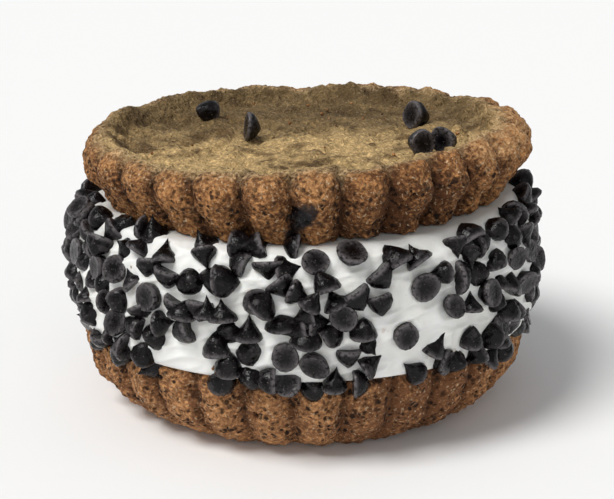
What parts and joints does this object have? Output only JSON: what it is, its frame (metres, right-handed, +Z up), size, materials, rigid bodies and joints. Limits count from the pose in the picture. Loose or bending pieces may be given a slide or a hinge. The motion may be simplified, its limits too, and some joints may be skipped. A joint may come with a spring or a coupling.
{
  "type": "ice cream sandwich",
  "caption": "Round ice cream sandwich: thick fluted cookies with a bulging band of ice cream between them, its side rolled in small dark chocolate chips.",
  "frame": {"origin": "centre of the underside, on the surface that the sandwich rests on", "axes": "+Z up through both cookies, -Y the front, +X the side where the ice cream is thickest"},
  "size_m": [0.0877, 0.0872, 0.0537],
  "materials": {
    "upper_crumb": "matte",
    "lower_crumb": "matte",
    "ice_cream": "satin",
    "dark_chocolate": "satin"
  },
  "bodies": {
    "root": {"lower_cookie": "lower_crumb", "ice_cream": "ice_cream", "upper_cookie": "upper_crumb"}
  },
  "joints": []
}
